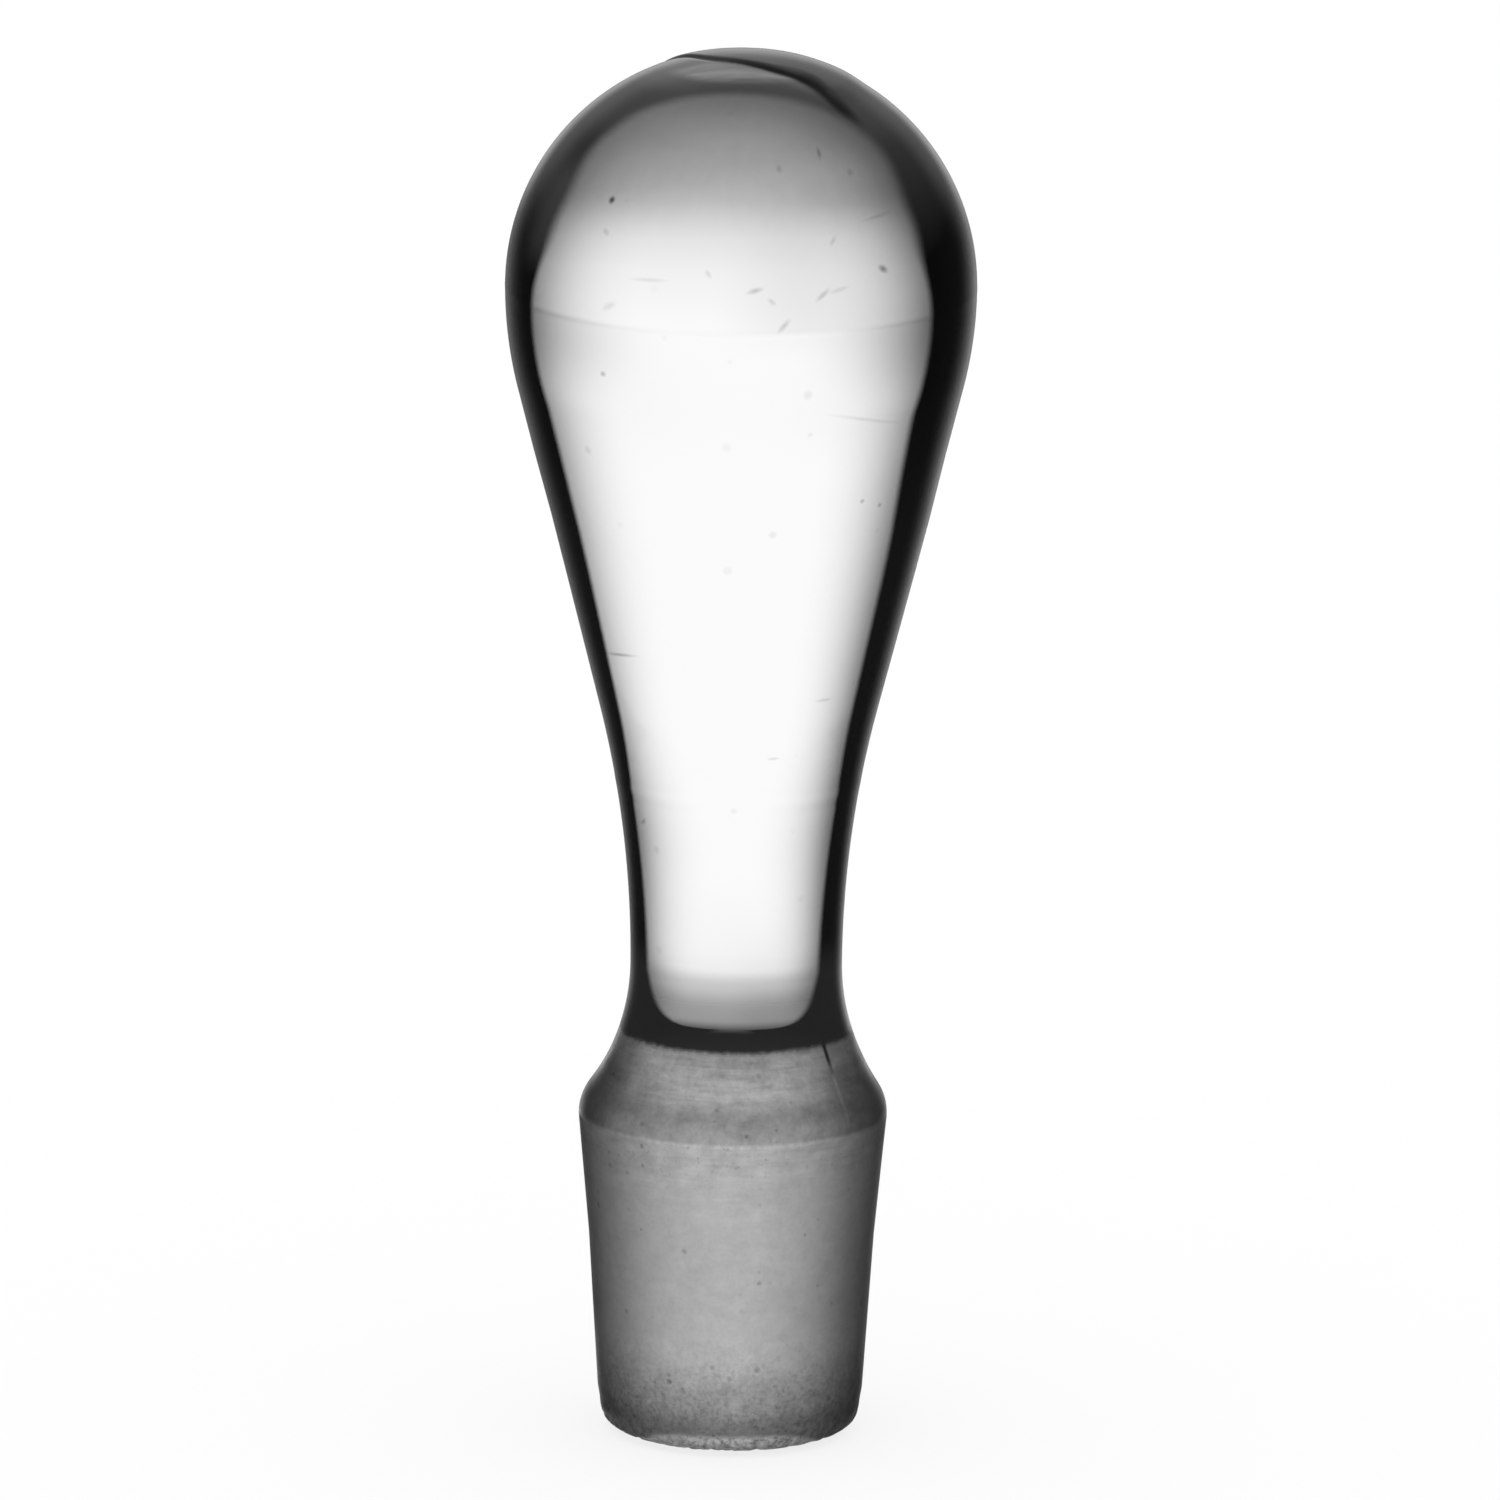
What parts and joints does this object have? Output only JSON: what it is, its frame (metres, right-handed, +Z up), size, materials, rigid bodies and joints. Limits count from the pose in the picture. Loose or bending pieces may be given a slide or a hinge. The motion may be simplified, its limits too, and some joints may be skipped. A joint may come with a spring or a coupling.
{
  "type": "glass stopper",
  "caption": "Solid glass bottle stopper: tall drop-shaped handle, slim neck, flared shoulder and a tapered ground plug with a rough, flat lower end.",
  "frame": {"origin": "middle of the flat lower end of the ground cone, on the axis, where the stopper stands", "axes": "+Z up along the axis from the ground cone to the crown of the handle; -Y is the front, the side from which the shear mark on the crown is seen; +X is to the right as seen from the front"},
  "size_m": [0.0288, 0.0288, 0.0862],
  "materials": {
    "clear_glass": "clear, fire-polished pressed glass on the handle, neck and upper flare; the lower flare, shoulder, cone and lower end are ground matt, with fine pits and turning lines"
  },
  "bodies": {
    "root": {"stopper": "clear_glass"}
  },
  "joints": []
}
